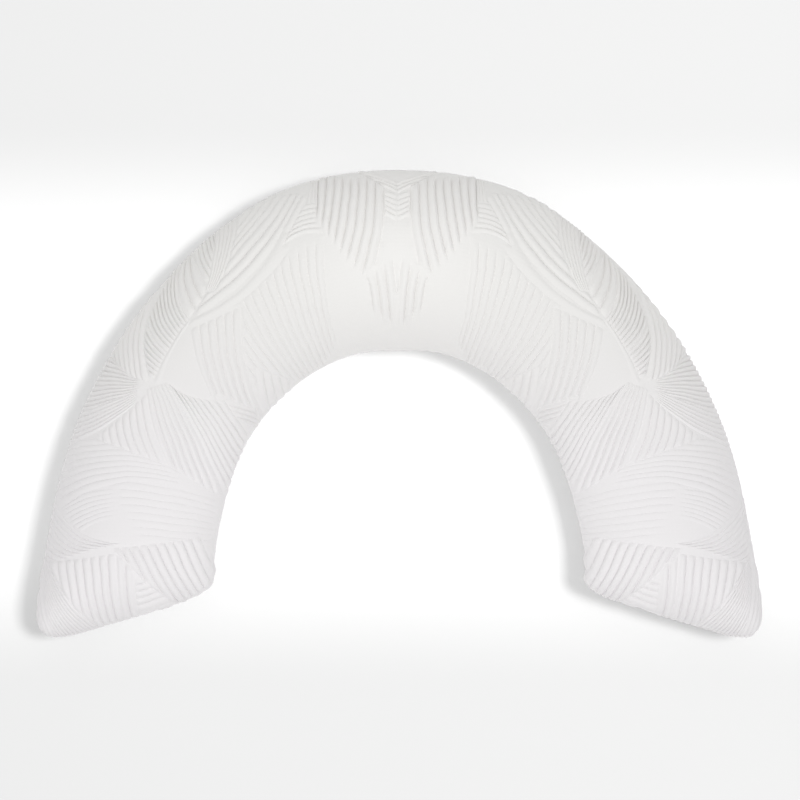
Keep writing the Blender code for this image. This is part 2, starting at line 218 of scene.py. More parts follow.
# Lines that shape one rib, as shares of its width: the channel, the flanks and the crest.
RIB_SECTION = (
    # place across, rise
    (0.00, 0.00),
    (0.12, 0.43),
    (0.30, 0.84),
    (0.50, 1.00),
    (0.70, 0.84),
    (0.88, 0.43),
)

# A knitted rib leans down the pillow's side and a little towards the front of the arch.
LEAN_POWER = 1.3
LEAN_FRONT = (-0.25, -0.35)


class BodyPillowCover(bpy.types.PropertyGroup):
    thickness: FloatProperty(
        name="Thickness", description="Height of the crown above the surface it lies on",
        default=0.158, min=0.08, max=0.25, unit="LENGTH")
    seam_height: FloatProperty(
        name="Seam height", description="Height of the edge seam that joins the two panels",
        default=0.072, min=0.03, max=0.12, unit="LENGTH")
    rib_rise: FloatProperty(
        name="Rib rise", description="Rise of a rib as a share of its width",
        default=0.20, min=0.0, max=0.4)
    rib_rise_most: FloatProperty(
        name="Most rib rise", description="Rise of the widest ribs",
        default=0.0022, min=0.0, max=0.005, unit="LENGTH")
    seam_draw: FloatProperty(
        name="Seam draw", description="How far the edge seam pulls the cloth in",
        default=0.0022, min=0.0, max=0.01, unit="LENGTH")
    pressure: FloatProperty(
        name="Pressure", description="How hard the filling presses on the cloth",
        default=8.0, min=0.0, max=40.0)
    slack: FloatProperty(
        name="Slack", description="How far inside its full shape the cloth starts",
        default=0.0015, min=0.0, max=0.02, unit="LENGTH")
    lumps: FloatProperty(
        name="Lumps", description="How uneven the filling lies before it is pressed out",
        default=0.0022, min=0.0, max=0.01, unit="LENGTH")
    push_most: FloatProperty(
        name="Most push", description="How far the filling may move the cloth",
        default=0.0035, min=0.0005, max=0.03, unit="LENGTH")
    line_step: FloatProperty(
        name="Step", description="Distance between points along a rib",
        default=0.0065, min=0.003, max=0.05, unit="LENGTH")
    knit_gauge: FloatProperty(
        name="Knit gauge", description="Distance between rows of knit stitches",
        default=0.0026, min=0.0005, max=0.01, unit="LENGTH")


class BodyPillowStage(bpy.types.PropertyGroup):
    lens: FloatProperty(
        name="Lens", description="Focal length of the camera in millimetres",
        default=120.0, min=35.0, max=300.0)
    view_width: FloatProperty(
        name="View width", description="Width of the picture at the edge seam",
        default=1.1584, min=0.5, max=4.0, unit="LENGTH")
    floor_power: FloatProperty(
        name="Floor light", description="Power in watts of the light that casts the shadow",
        default=670.0, min=0.0, max=2000.0)
    floor_fill: FloatProperty(
        name="Floor fill", description="Power in watts of the shadowless light on the floor",
        default=545.0, min=0.0, max=2000.0)
    room_top: FloatProperty(
        name="Overhead", description="Brightness of the diffuser straight overhead",
        default=1.02, min=0.0, max=5.0)
    room_low: FloatProperty(
        name="Around", description="Brightness of the room all round",
        default=0.44, min=0.0, max=5.0)
    front_power: FloatProperty(
        name="Front light", description="Power in watts of the low light in front of the arch",
        default=2.35, min=0.0, max=50.0)
    crown_power: FloatProperty(
        name="Crown lamps", description="Power in watts of each lamp that rakes the crown",
        default=2.0, min=0.0, max=50.0)
    leg_power: FloatProperty(
        name="Leg lamps", description="Power in watts of each lamp that rakes a leg",
        default=0.7, min=0.0, max=50.0)


# ---- the form of the pillow ----

def smooth_column(angles, column):
    """Value of one station column at each angle, on a smooth curve through the rows."""
    knots = np.array([station.angle for station in STATIONS], float)
    values = np.array([getattr(station, column) for station in STATIONS], float)
    slopes = np.gradient(values, knots)
    slopes[-1] = 0.0
    at = np.clip(np.minimum(angles, 180 - angles), knots[0], knots[-1])
    low = np.clip(np.searchsorted(knots, at, side="right") - 1, 0, len(knots) - 2)
    span = knots[low + 1] - knots[low]
    t = (at - knots[low]) / span
    rise = 3 * t ** 2 - 2 * t ** 3
    bend_low = (t ** 3 - 2 * t ** 2 + t) * span * slopes[low]
    bend_high = (t ** 3 - t ** 2) * span * slopes[low + 1]
    return values[low] * (1 - rise) + values[low + 1] * rise + bend_low + bend_high


def arch_edges(angle):
    """Inner and outer radius of the arch at each angle."""
    return smooth_column(angle, "inner") * MM, smooth_column(angle, "outer") * MM


def raw_roundness(across, ending):
    """Roundness that keeps rising past the outline."""
    near = (np.abs(across) ** CORNER_POWER + ending ** CORNER_POWER) ** (1 / CORNER_POWER)
    power = CREST_POWER + (CORNER_POWER - CREST_POWER) * np.minimum(near, 1.0) ** 2
    return (np.abs(across) ** power + ending ** power) ** (1 / power)


def roundness(across, ending):
    """How near a place is to the outline: 0 on the crest line and 1 on the outline."""
    return np.minimum(raw_roundness(across, ending), 1.0)


def along_arch(plan):
    """Angle, place across the tube (-1 inner to 1 outer) and closeness to the end (0 to 1)."""
    angle = np.degrees(np.arctan2(plan[:, 1] - ARCH_CENTRE_Y, plan[:, 0]))
    radius = np.hypot(plan[:, 0], plan[:, 1] - ARCH_CENTRE_Y)
    inner, outer = arch_edges(angle)
    across = (2 * radius - inner - outer) / (outer - inner)
    from_end = np.radians(angle - END_ANGLE) * MIDDLE_RADIUS
    ending = np.clip(1 - from_end / END_ROUND, 0, None)
    return angle, across, ending


def closeness(plan):
    """How near each place of the plan is to the outline, from 0 to 1."""
    return roundness(*along_arch(plan)[1:])


def to_plan(angle, across):
    """Plan of places given by their angle and their place across the tube."""
    inner, outer = arch_edges(angle)
    radius = 0.5 * (inner + outer) + 0.5 * across * (outer - inner)
    turn = np.radians(angle)
    return np.stack((radius * np.cos(turn), ARCH_CENTRE_Y + radius * np.sin(turn)), 1)


def laid_out(angle, across, ending):
    """The cloth laid out flat, so that places on its steep sides stay a true distance apart."""
    near = np.maximum(roundness(across, ending), 1e-6)
    stretch = np.arcsin(near) * (2 / math.pi) / near
    end_length = END_ROUND * HALF_GIRTH / HALF_WIDTH
    from_end = np.radians(angle - END_ANGLE) * MIDDLE_RADIUS
    along = np.where(ending > 0, (1 - ending * stretch) * end_length,
                     end_length + from_end - END_ROUND)
    return np.stack((along, across * stretch * HALF_GIRTH), 1)


def flattened(plan):
    """Where places of the plan come on the laid out cloth."""
    return laid_out(*along_arch(plan))


def from_seam(near):
    """Distance from the edge seam, measured on the cloth."""
    return HALF_GIRTH * (1 - np.arcsin(np.minimum(near, 1.0)) * 2 / math.pi)


def level_at(distance):
    """Closeness to the outline at a distance from the edge seam."""
    return math.sin((1 - distance / HALF_GIRTH) * math.pi / 2)


def panel_points(plan, cover, upper):
    """Points of the smooth upper or under panel over a plan, the way they face, and how near
    they are to the outline."""
    angle, across, ending = along_arch(plan)
    near = roundness(across, ending)
    step = 0.0004
    east, north = np.array((step, 0.0)), np.array((0.0, step))
    slope = np.stack((closeness(plan + east) - closeness(plan - east),
                      closeness(plan + north) - closeness(plan - north)), 1) / (2 * step)
    power = CROWN_POWER if upper else UNDER_POWER
    dome = (1 - near ** power) ** (1 / power)
    if upper:
        pull = smooth_column(angle, "crown") * cover.thickness - cover.seam_height
        height = cover.seam_height + pull * dome
    else:
        fall = np.minimum(1.0, UNDER_GAIN * dome)
        height = cover.seam_height * (1 - fall) ** UNDER_EASE
        pull = UNDER_EASE * cover.seam_height * (1 - fall) ** (UNDER_EASE - 1) * UNDER_GAIN
    keep = np.maximum(1 - near ** power, 1e-9) ** (1 - 1 / power)
    outward = (pull * near ** (power - 1))[:, None] * slope
    normal = np.column_stack((outward, keep if upper else -keep))
    normal /= np.linalg.norm(normal, axis=1)[:, None]
    return np.column_stack((plan, height)), normal, near


def lengths(lines):
    """How far along its line each point lies, for one line of points or several."""
    steps = np.linalg.norm(np.diff(lines, axis=-2), axis=-1)
    return np.concatenate((np.zeros_like(steps[..., :1]), np.cumsum(steps, axis=-1)), axis=-1)


def search_tree(places):
    """A tree that finds the places nearest to any point."""
    tree = kdtree.KDTree(len(places))
    for index, place in enumerate(places):
        tree.insert(place, index)
    tree.balance()
    return tree


# ---- the ribbed fields ----

def bowed(start, end, bow, t):
    """Places at t, from 0 to 1, on a side that swells by its bow at the middle."""
    start, end = np.array(start, float), np.array(end, float)
    chord = end - start
    side = np.array((-chord[1], chord[0])) / max(np.hypot(*chord), 1e-6)
    t = np.asarray(t, float)[..., None]
    return start * (1 - t) + end * t + 4 * t * (1 - t) * bow * side


def field_point(field, u, t):
    """Place in a field: u counts across its ribs from 0 to 1, t runs along them."""
    first_start, first_end, last_start, last_end = map(np.array, field[1:5])
    u, t = np.broadcast_arrays(np.asarray(u, float), np.asarray(t, float))
    first = bowed(first_start, first_end, field.first_bow, t)
    last = bowed(last_start, last_end, field.last_bow, t)
    start = bowed(first_start, last_start, field.start_bow, u)
    end = bowed(first_end, last_end, field.end_bow, u)
    u, t = u[..., None], t[..., None]
    corners = (first_start * (1 - u) + last_start * u) * (1 - t)
    corners = corners + (first_end * (1 - u) + last_end * u) * t
    place = (1 - u) * first + u * last + (1 - t) * start + t * end - corners
    return wavered(place * MM)


def wavered(place):
    """Knitted ribs waver by a third of a millimetre as the cloth stretches over its filling."""
    x, y = place[..., 0], place[..., 1]
    shift_x = 0.35 * np.sin(88 * y + 31 * x) + 0.2 * np.sin(151 * y - 67 * x + 1.3)
    shift_y = 0.35 * np.sin(94 * x - 27 * y + 0.7) + 0.2 * np.sin(147 * x + 73 * y + 2.1)
    return np.stack((x + shift_x * MM, y + shift_y * MM), -1)


def field_outline(field, reach=0.0):
    """Closed outline of a field, pushed out by a small reach."""
    t = np.linspace(0, 1, SIDE_POINTS)[:-1]
    ring = np.concatenate((field_point(field, 0, t), field_point(field, t, 1),
                           field_point(field, 1, 1 - t), field_point(field, 1 - t, 0)))
    way = np.roll(ring, -1, axis=0) - np.roll(ring, 1, axis=0)
    way /= np.maximum(np.linalg.norm(way, axis=1), 1e-9)[:, None]
    area = np.sum(ring[:, 0] * np.roll(ring[:, 1], -1) - ring[:, 1] * np.roll(ring[:, 0], -1))
    return ring + math.copysign(reach, area) * np.stack((way[:, 1], -way[:, 0]), 1)


def inside(points, ring):
    """Which points lie inside a closed outline."""
    hit = np.zeros(len(points), bool)
    maybe = np.flatnonzero(np.all((points > ring.min(0)) & (points < ring.max(0)), axis=1))
    if not len(maybe):
        return hit
    x, y = points[maybe].T
    found = np.zeros(len(maybe), bool)
    for (x0, y0), (x1, y1) in zip(ring, np.roll(ring, -1, axis=0)):
        if y0 != y1:
            cross = (y0 > y) != (y1 > y)
            found ^= cross & (x < x0 + (y - y0) * (x1 - x0) / (y1 - y0))
    hit[maybe] = found
    return hit


class Sheet:
    """Points of half a panel laid flat, with the plan, the rise and the lines of each."""

    def __init__(self, cover, upper, side):
        self.cover = cover
        self.upper = upper
        self.middle = 90.0 + side * MIDDLE_TURN
        self.shift = -(1 + side) * MOTIF_SHIFT
        self.plan, self.flat, self.rise = [], [], []
        self.edges, self.sharp = [], set()

    def line(self, plan, flat=None, rise=0.0, channel=False):
        """Adds points joined in a line, which is creased if it is a channel."""
        base = len(self.plan)
        flat = flattened(plan) if flat is None else flat
        self.plan.extend(map(tuple, plan))
        self.flat.extend(map(tuple, flat))
        self.rise.extend(np.broadcast_to(rise, (len(plan),)))
        if channel:
            self.sharp.update(range(len(self.edges), len(self.edges) + len(plan) - 1))
        self.edges.extend((base + k, base + k + 1) for k in range(len(plan) - 1))

    def past_middle(self, plan):
        """How far a place is from the ray where the two halves meet."""
        turn = math.radians(self.middle)
        return plan[:, 0] * math.sin(turn) - (plan[:, 1] - ARCH_CENTRE_Y) * math.cos(turn)

    def field_at(self, field, u, t):
        """Place in a field, moved as this half's motif is."""
        place = field_point(field, u, t)
        place[..., 0] += self.shift
        return place

    def shown(self, plan, covering):
        """Where a place is on the cloth and no later field covers it."""
        near = closeness(plan)
        keep = (from_seam(near) > SEAM_CLEAR) & (self.past_middle(plan) > MIDDLE_CLEAR)
        if not self.upper:
            keep &= near > UNDER_RIBS
        for ring in covering:
            keep &= ~inside(plan, ring)
        return keep


def leaned(field, section):
    """The rib section with its steeper flank down the pillow's side."""
    centre = np.mean(field[1:5], axis=0)[None] * MM
    across = np.clip(along_arch(centre)[1][0], -1, 1)
    outward = centre[0] - (0, ARCH_CENTRE_Y)
    gentle = np.array(LEAN_FRONT) - across * outward / np.hypot(*outward)
    turn = np.subtract(np.add(field.last_start, field.last_end),
                       np.add(field.first_start, field.first_end))
    if np.dot(turn, gentle) > 0:
        return [(place ** LEAN_POWER, rise) for place, rise in section]
    return [(0.0, 0.0)] + [(1 - (1 - place) ** LEAN_POWER, rise) for place, rise in section[1:]]


def rib_rows(field, section):
    """Where the lines of a field's ribs lie across it, and how far each rises."""
    section = leaned(field, section)
    rows = [((rib + across) / field.ribs, rise) for rib in range(field.ribs)
            for across, rise in section] + [(1.0, 0.0)]
    if field.border == "sewn":
        rows = rows[1:-1]
    return np.array(rows).T


def kept_spans(keeps, count, t):
    """Start and end of each stretch that a test keeps, for each of some lines."""
    rows = np.repeat(np.arange(count), len(t))
    keep = keeps(rows, np.tile(t, count)).reshape(count, len(t))
    rows, cols = np.nonzero(keep[:, 1:] != keep[:, :-1])
    low, high, first = t[cols], t[cols + 1], keep[rows, cols]
    for _ in range(6):
        half = 0.5 * (low + high)
        same = keeps(rows, half) == first
        low, high = np.where(same, half, low), np.where(same, high, half)
    spans = []
    for row in range(count):
        cuts = list(0.5 * (low + high)[rows == row])
        if keep[row, 0]:
            cuts.insert(0, 0.0)
        if keep[row, -1]:
            cuts.append(1.0)
        spans.append(list(zip(cuts[::2], cuts[1::2])))
    return spans


def rib_run(first, last, marks):
    """Points of a rib from its first to its last, through the marks that keep clear of both."""
    run = marks[(marks > first + END_CLEAR) & (marks < last - END_CLEAR)]
    run = np.concatenate(([first], run, [last]))
    if last - first > 2 * END_CLEAR:
        run = np.insert(run, (1, len(run) - 1), (first + END_STEP, last - END_STEP))
    return run


def lay_field(sheet, field, covering, section):
    """Lays the lines of one field's ribs, cut where later fields cover them."""
    cover = sheet.cover
    lines, rises = rib_rows(field, section)
    t = np.linspace(0, 1, RIB_POINTS)
    u, at = np.meshgrid(lines, t, indexing="ij")

    def spots(u):
        plan = sheet.field_at(field, u, at).reshape(-1, 2)
        places, _, near = panel_points(plan, cover, sheet.upper)
        return places.reshape(u.shape + (3,)), near.reshape(u.shape)

    half_rib = 0.5 / field.ribs
    width = np.linalg.norm(spots(u + half_rib)[0] - spots(u - half_rib)[0], axis=2)
    places, near = spots(u)
    length = lengths(places)
    height = np.minimum(cover.rib_rise * width, cover.rib_rise_most) * field.relief
    by_seam = np.clip(from_seam(near) / SEAM_FADE, 0, 1)
    height = height * (LEAST_SHARE + (1 - LEAST_SHARE) * by_seam)
    if not sheet.upper:
        height = height * np.clip(places[..., 2] / UNDER_FADE, 0, 1)

    def keeps(rows, at):
        place = at * (len(t) - 1)
        low = np.minimum(place.astype(int), len(t) - 2)
        wide = width[rows, low] + (place - low) * (width[rows, low + 1] - width[rows, low])
        plan = sheet.field_at(field, lines[rows], at)
        return sheet.shown(plan, covering) & (wide > RIB_NARROWEST)

    if field.border == "sewn":
        base, least, open_end = -SEWN_DEPTH * height, LEAST_SHARE, SEWN_FADE
    else:
        base, least, open_end = 0.0 * height, 0.0, SOFT_FADE
    grid = np.linspace(0, 1, max(3, int(round(length[:, -1].max() / cover.line_step)) + 1))
    for row, spans in enumerate(kept_spans(keeps, len(lines), t)):
        for start, end in spans:
            first, last = np.interp((start, end), t, length[row])
            first += RIB_CLEAR if start == 0 else 0
            last -= RIB_CLEAR if end == 1 else 0
            if last - first < RIB_SHORTEST:
                continue
            run = rib_run(first, last, np.interp(grid, t, length[row]))
            fade_start = open_end if start == 0 else SEWN_FADE
            fade_end = open_end if end == 1 else SEWN_FADE
            share = np.minimum((run - first) / fade_start, (last - run) / fade_end)
            share = least + (1 - least) * np.clip(share, 0, 1)
            spot = np.interp(run, length[row], t)
            tall, floor = np.interp(spot, t, height[row]), np.interp(spot, t, base[row])
            rise = floor + (tall * (rises[row] - RIB_SINK) - floor) * share
            sheet.line(sheet.field_at(field, np.full_like(spot, lines[row]), spot), rise=rise,
                       channel=rises[row] == 0)


def lay_border(sheet, field, ring, covering):
    """Lays the shallow line where a sewn field meets its neighbours."""
    cover = sheet.cover
    along = np.arange(len(ring) + 1)
    fine = np.linspace(0, len(ring), 12 * len(ring) + 1)
    closed = np.concatenate((ring, ring[:1]))
    plan = np.stack([np.interp(fine, along, closed[:, k]) for k in (0, 1)], 1)
    keep = sheet.shown(plan, covering)
    places = panel_points(plan, cover, sheet.upper)[0]
    length = lengths(places)
    marks = np.flatnonzero(np.diff(np.concatenate(([0], keep.astype(int), [0]))))
    for first, last in zip(marks[::2], marks[1::2] - 1):
        span = length[last] - length[first]
        if span < BORDER_STEP:
            continue
        parts = max(2, int(round(span / BORDER_STEP)) + 1)
        at = np.linspace(length[first], length[last], parts)
        run = np.stack([np.interp(at, length, plan[:, k]) for k in (0, 1)], 1)
        depth = SEWN_DEPTH * field.relief * cover.rib_rise_most * BORDER_SHARE
        if not sheet.upper:
            depth = depth * np.clip(np.interp(at, length, places[:, 2]) / UNDER_FADE, 0, 1)
        sheet.line(run, rise=-depth, channel=True)


def lay_ribs(sheet, section):
    """Lays every field's ribs on half a panel, and the sewn lines round them."""
    shift = np.array((sheet.shift, 0.0))
    rings = [field_outline(field) + shift for field in FIELDS]
    wide = [field_outline(field, RIB_CLEAR) + shift for field in FIELDS]
    for order, field in enumerate(FIELDS):
        lay_field(sheet, field, wide[order + 1:], section)
        if field.border == "sewn":
            lay_border(sheet, field, rings[order], wide[order + 1:])


# ---- the mesh ----

def end_reach(turn, level):
    """How far out from the crest line a ring lies, for each direction round the end."""
    low = np.zeros_like(turn)
    high = np.full_like(turn, 1.3)
    for _ in range(50):
        half = 0.5 * (low + high)
        below = raw_roundness(half * np.cos(turn), half * np.sin(turn)) < level
        low = np.where(below, half, low)
        high = np.where(below, high, half)
    return low


def ring_line(level, step, middle):
    """Half of a line round the cloth at one closeness to its outline, from outer to inner side.

    It counts 0 to 1 down the outer side, 1 to 2 round the end and 2 to 3 back up the inner side.
    """
    joint = END_ANGLE + math.degrees(END_ROUND / MIDDLE_RADIUS)

    def places(count):
        side = np.where(count < 1.5, count, 3 - count)
        turn = np.clip(count - 1, 0, 1) * math.pi
        reach = end_reach(turn, level)
        straight = (count <= 1) | (count >= 2)
        angle = np.where(straight, middle + (joint - middle) * np.clip(side, 0, 1), 0.0)
        ending = np.where(straight, 0.0, reach * np.sin(turn))
        angle = np.where(straight, angle, joint - (joint - END_ANGLE) * ending)
        across = np.where(straight, np.where(count < 1.5, level, -level), reach * np.cos(turn))
        return angle, across, ending

    count = np.linspace(0, 3, RING_POINTS)
    angle, across, _ = places(count)
    length = lengths(to_plan(angle, across))
    steps = max(8, int(round(length[-1] / step)))
    angle, across, ending = places(np.interp(np.linspace(0, length[-1], steps + 1), length, count))
    return to_plan(angle, across), laid_out(angle, across, ending)


def middle_line(middle):
    """Points down the ray where the two halves meet, from the outer side to the inner one."""
    across = np.sin(np.linspace(math.pi / 2, -math.pi / 2, MIDDLE_POINTS))
    angle = np.full_like(across, middle)
    return to_plan(angle, across), laid_out(angle, across, np.zeros_like(across))


def fill_dots(sheet, step):
    """Even points wherever the cloth is plain, clear of the lines already laid."""
    flat = np.array(sheet.flat)
    taken = [flat]
    for first, last in sheet.edges:
        parts = int(np.linalg.norm(flat[last] - flat[first]) / (DOT_LOOK_UP * step))
        if parts > 1:
            t = (np.arange(1, parts) / parts)[:, None]
            taken.append(flat[first] * (1 - t) + flat[last] * t)
    taken = np.concatenate(taken)
    tree = search_tree(np.column_stack((taken, np.zeros(len(taken)))))
    turn = 0.5 * math.pi * step / HALF_GIRTH
    row_turn = math.degrees(step / MIDDLE_RADIUS)
    for row, angle in enumerate(np.arange(*DOT_ROWS, row_turn)):
        across = np.sin(np.arange(-math.pi / 2, math.pi / 2, turn) + (row % 2) * 0.5 * turn)
        plan = to_plan(np.full_like(across, angle), across)
        places = flattened(plan)
        clear = ((from_seam(closeness(plan)) > DOT_FROM_SEAM * step)
                 & (sheet.past_middle(plan) > DOT_FROM_MIDDLE * step))
        for index in np.flatnonzero(clear):
            if tree.find((*places[index], 0.0))[2] > DOT_FROM_RIBS * step:
                sheet.line([plan[index]], [places[index]])


def triangulate(sheet):
    """Joins a sheet's points in triangles that follow its lines, with a point at each crossing."""
    plan = np.array(sheet.plan)
    flat = np.array(sheet.flat)
    points, edges, faces, from_points, from_edges, _ = delaunay_2d_cdt(
        [Vector(place) for place in flat], sheet.edges, [], 1, SAME_PLACE, True)
    joins, creases = {}, []
    for edge, sources in zip(edges, from_edges):
        if sources:
            for corner in edge:
                joins.setdefault(corner, sources[0])
        if not sheet.sharp.isdisjoint(sources):
            creases.append(edge)
    out_plan = np.zeros((len(points), 2))
    out_rise = np.zeros(len(points))
    for index, (point, sources) in enumerate(zip(points, from_points)):
        if sources:
            out_plan[index] = plan[sources[0]]
            out_rise[index] = min(sheet.rise[k] for k in sources)
        else:
            first, last = sheet.edges[joins[index]]
            span = flat[last] - flat[first]
            part = float(np.dot(np.array(point) - flat[first], span) / np.dot(span, span))
            out_plan[index] = plan[first] * (1 - part) + plan[last] * part
            out_rise[index] = min(sheet.rise[first], sheet.rise[last])
    # A triangle with all its corners on the outline lies outside the cloth.
    rim = closeness(out_plan) > OUTLINE
    faces = np.array(faces)
    return out_plan, out_rise, np.array(points), faces[~rim[faces].all(1)], creases


def panel_half(cover, upper, side, ribbed):
    """Smooth points of half a panel, the way they face, their rise and flat places, and the
    triangles and creased edges that join them."""
    sheet = Sheet(cover, upper, side)
    for distance in SEAM_LINES:
        sheet.line(*ring_line(level_at(distance), SEAM_STEP, sheet.middle))
    sheet.line(*middle_line(sheet.middle))
    if not upper:
        flat_level = (1 - (1 / UNDER_GAIN) ** UNDER_POWER) ** (1 / UNDER_POWER)
        sheet.line(*ring_line(level_at(from_seam(flat_level)), PLAIN_STEP, sheet.middle))
    if ribbed:
        lay_ribs(sheet, RIB_SECTION if upper else RIB_SECTION[::3])
    fill_dots(sheet, cover.line_step if upper and ribbed else PLAIN_STEP)
    plan, rise, flat, faces, creases = triangulate(sheet)
    places, normal, near = panel_points(plan, cover, upper)
    draw = cover.seam_draw * np.exp(-(from_seam(near) / DRAW_REACH) ** 2)
    return places, normal, rise - draw, flat, faces, creases


def cover_mesh(cover, ribbed=True, push=None):
    """Both panels, each in two halves, as one closed mesh, moved by what the filling does."""
    points, flats, faces, sharp = [], [], [], set()
    for upper in (True, False):
        for side in (1, -1):
            mirror = np.array((side, 1, 1))
            half = panel_half(cover, upper, side, ribbed)
            places, normal, rise, flat, triangles, creases = half
            if push:
                places = places + push(places * mirror) * mirror
            places = places + normal * rise[:, None]
            places[:, 2] = np.maximum(places[:, 2], 0.0)
            base = len(points)
            points.extend(map(tuple, places * mirror))
            sharp.update((base + min(pair), base + max(pair)) for pair in creases)
            # The left half's cloth is laid out beyond the right half's.
            reach = flat * mirror[:2] + (0 if side > 0 else 2 * flat[:, 0].max(), 0)
            flats.extend(map(tuple, reach))
            a, b, c = (places[triangles[:, k], :2] for k in range(3))
            area = (b - a)[:, 0] * (c - a)[:, 1] - (b - a)[:, 1] * (c - a)[:, 0]
            turned = ((area > 0) == (side > 0)) != upper
            triangles[turned] = triangles[turned][:, (0, 2, 1)]
            faces.extend((base + triangles).tolist())
    mesh = bpy.data.meshes.new("pillow_cover")
    mesh.from_pydata(points, [], faces)
    layer = mesh.uv_layers.new(name="cloth")
    corners = np.empty(len(mesh.loops), int)
    mesh.loops.foreach_get("vertex_index", corners)
    layer.data.foreach_set("uv", np.array(flats)[corners].ravel())
    creases = mesh.attributes.new("sharp_edge", "BOOLEAN", "EDGE")
    creases.data.foreach_set("value", [tuple(sorted(edge.vertices)) in sharp
                                       for edge in mesh.edges])
    return mesh


def clear_selection():
    for item in bpy.context.selected_objects:
        item.select_set(False)


def pick(item):
    """Makes an object the only selected one, and the active one."""
    clear_selection()
    item.select_set(True)
    bpy.context.view_layer.objects.active = item


def close_up(item):
    """Merges the points where panels meet, and turns every face outwards."""
    pick(item)
    bpy.ops.object.mode_set(mode="EDIT")
    bpy.ops.mesh.select_all(action="SELECT")
    bpy.ops.mesh.remove_doubles(threshold=MERGE_GAP)
    bpy.ops.mesh.normals_make_consistent(inside=False)
    bpy.ops.object.mode_set(mode="OBJECT")


# ---- the filling ----

def coordinates(mesh):
    """Places of a mesh's points, one to a row."""
    values = np.empty(3 * len(mesh.vertices))
    mesh.vertices.foreach_get("co", values)
    return values.reshape(-1, 3)


def apply_modifier(item, name):
    pick(item)
    bpy.ops.object.modifier_apply(modifier=name)


def press_out(cover):
    """Fills a plain, slightly slack pillow with Cloth under pressure.

    Gives a function for how far the cloth has moved at any place.
    """
    item = bpy.data.objects.new("plain_pillow", cover_mesh(cover, ribbed=False))
    bpy.context.collection.objects.link(item)
    close_up(item)
    remesh = item.modifiers.new("even_mesh", "REMESH")
    remesh.mode = "VOXEL"
    remesh.voxel_size = SIM_VOXEL
    apply_modifier(item, remesh.name)
    full = coordinates(item.data)
    outward = np.array([vertex.normal for vertex in item.data.vertices])
    near = closeness(full[:, :2] * np.where(full[:, :1] < 0, (-1, 1), (1, 1)))
    by_seam = (near > HELD_NEAR) & (np.abs(full[:, 2] - cover.seam_height) < HELD_BAND)
    held = (full[:, 2] < HELD_LOW) | by_seam
    lumps = np.array([noise.noise(Vector(place) * LUMP_PITCH) for place in full])
    offset = np.where(held, 0.0, cover.lumps * lumps - cover.slack)[:, None]
    start = full + outward * offset
    item.data.vertices.foreach_set("co", start.ravel())
    group = item.vertex_groups.new(name="held")
    group.add([int(k) for k in np.flatnonzero(held)], 1.0, "REPLACE")
    cloth = item.modifiers.new("filling", "CLOTH")
    cloth.settings.quality = 4
    cloth.settings.use_pressure = True
    cloth.settings.uniform_pressure_force = cover.pressure
    cloth.settings.effector_weights.gravity = 0.0
    cloth.settings.vertex_group_mass = "held"
    cloth.collision_settings.use_collision = False
    for number in range(1, SIM_FRAMES + 1):
        bpy.context.scene.frame_set(number)
    apply_modifier(item, cloth.name)
    move = coordinates(item.data) - full
    bpy.context.scene.frame_set(1)
    bpy.data.objects.remove(item)
    # What the slack took off all over is given back, so the pillow keeps its size.
    swell = (move * outward).sum(1)
    move -= outward * np.where(held, 0.0, swell[~held].mean())[:, None]
    length = np.linalg.norm(move, axis=1)[:, None]
    move /= np.sqrt(1 + (length / cover.push_most) ** 2)
    tree = search_tree(full)

    def push(places):
        """How far the cloth near each place has moved."""
        result = np.zeros_like(places)
        for index, place in enumerate(places):
            _, nearest, away = zip(*tree.find_n(place, 8))
            weights = np.array([math.exp(-(gap / SIM_VOXEL) ** 2) + 1e-9 for gap in away])
            result[index] = weights @ move[list(nearest)] / weights.sum()
        return result

    return push


# ---- materials ----

def linear(code):
    """Linear colour of an sRGB hex value."""
    channels = [int(code[k:k + 2], 16) / 255 for k in (1, 3, 5)]
    return tuple(c / 12.92 if c <= 0.04045 else ((c + 0.055) / 1.055) ** 2.4
                 for c in channels) + (1.0,)


def add_node(tree, kind, settings=None, links=None):
    """Adds a node, sets its options and input values, and links its inputs."""
    node = tree.nodes.new(kind)
    for name, value in (settings or {}).items():
        if isinstance(name, int) or name in node.inputs:
            node.inputs[name].default_value = value
        else:
            setattr(node, name, value)
    for name, source in (links or {}).items():
        tree.links.new(source, node.inputs[name])
    return node


def emptied_tree(owner):
    """Node tree of a material or a world, with nothing in it yet."""
    owner.use_nodes = True
    owner.node_tree.nodes.clear()
    return owner.node_tree


